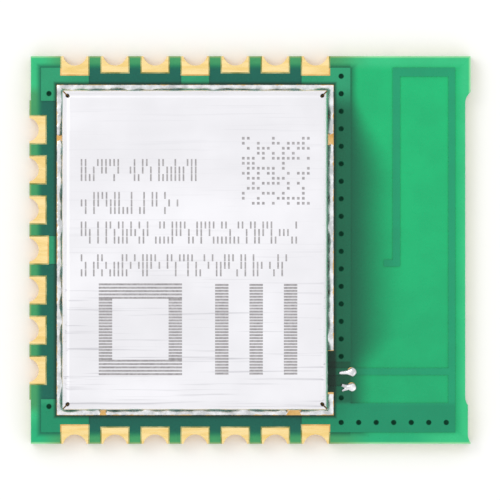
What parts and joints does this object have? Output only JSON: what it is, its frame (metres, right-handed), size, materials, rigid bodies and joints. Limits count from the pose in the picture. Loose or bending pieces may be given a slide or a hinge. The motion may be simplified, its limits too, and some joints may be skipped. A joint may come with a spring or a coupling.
{
  "type": "wifi module",
  "caption": "Small wireless module: a rectangular circuit board with castellated edge terminals, a folded shield can soldered on top and a printed antenna beside it.",
  "frame": {"origin": "middle of the board's underside, on the plane it is soldered down on", "axes": "+Z out of the board on the shield can's side, +X along the longer side towards the antenna, +Y across the board towards the antenna's top bar"},
  "size_m": [0.0164, 0.0144, 0.0023],
  "materials": {
    "laminate": "matt, woven glass in resin",
    "inner_copper": "etched foil",
    "outer_copper": "etched foil under the mask",
    "solder_mask": "glossy green lacquer",
    "via_plating": "plated",
    "via_plug": "dark resin",
    "gold": "thin gold over nickel",
    "shield": "tinned sheet with a faint brushed grain",
    "solder": "bright and uneven where it flowed",
    "moulding": "matt black",
    "lead_metal": "tinned",
    "ceramic_white": "fired ceramic",
    "ferrite": "pressed grey ferrite",
    "ceramic_tan": "fired ceramic"
  },
  "bodies": {
    "root": {"prepreg_upper": "laminate", "core": "laminate", "prepreg_lower": "laminate", "ground_plane": "inner_copper", "supply_plane": "inner_copper", "copper_upper": "outer_copper", "copper_lower": "outer_copper", "antenna": "outer_copper", "solder_mask_upper": "solder_mask", "solder_mask_lower": "solder_mask", "via_barrels": "via_plating", "via_filling": "via_plug", "terminal_north_1": "gold", "terminal_north_2": "gold", "terminal_north_3": "gold", "terminal_north_4": "gold", "terminal_north_5": "gold", "terminal_north_6": "gold", "terminal_north_7": "gold", "terminal_west_1": "gold", "terminal_west_2": "gold", "terminal_west_3": "gold", "terminal_west_4": "gold", "terminal_west_5": "gold", "terminal_west_6": "gold", "terminal_west_7": "gold", "terminal_south_1": "gold", "terminal_south_2": "gold", "terminal_south_3": "gold", "terminal_south_4": "gold", "terminal_south_5": "gold", "terminal_south_6": "gold", "terminal_south_7": "gold", "shield_can": "shield", "shield_solder": "solder", "feed_solder": "solder", "radio_chip": "moulding", "chip_leads": "lead_metal", "crystal_tray": "ceramic_white", "crystal_lid": "lead_metal", "antenna_filter": "ceramic_white", "inductors": "ferrite", "capacitors": "ceramic_tan", "resistors": "moulding", "part_solder": "solder"}
  },
  "joints": []
}
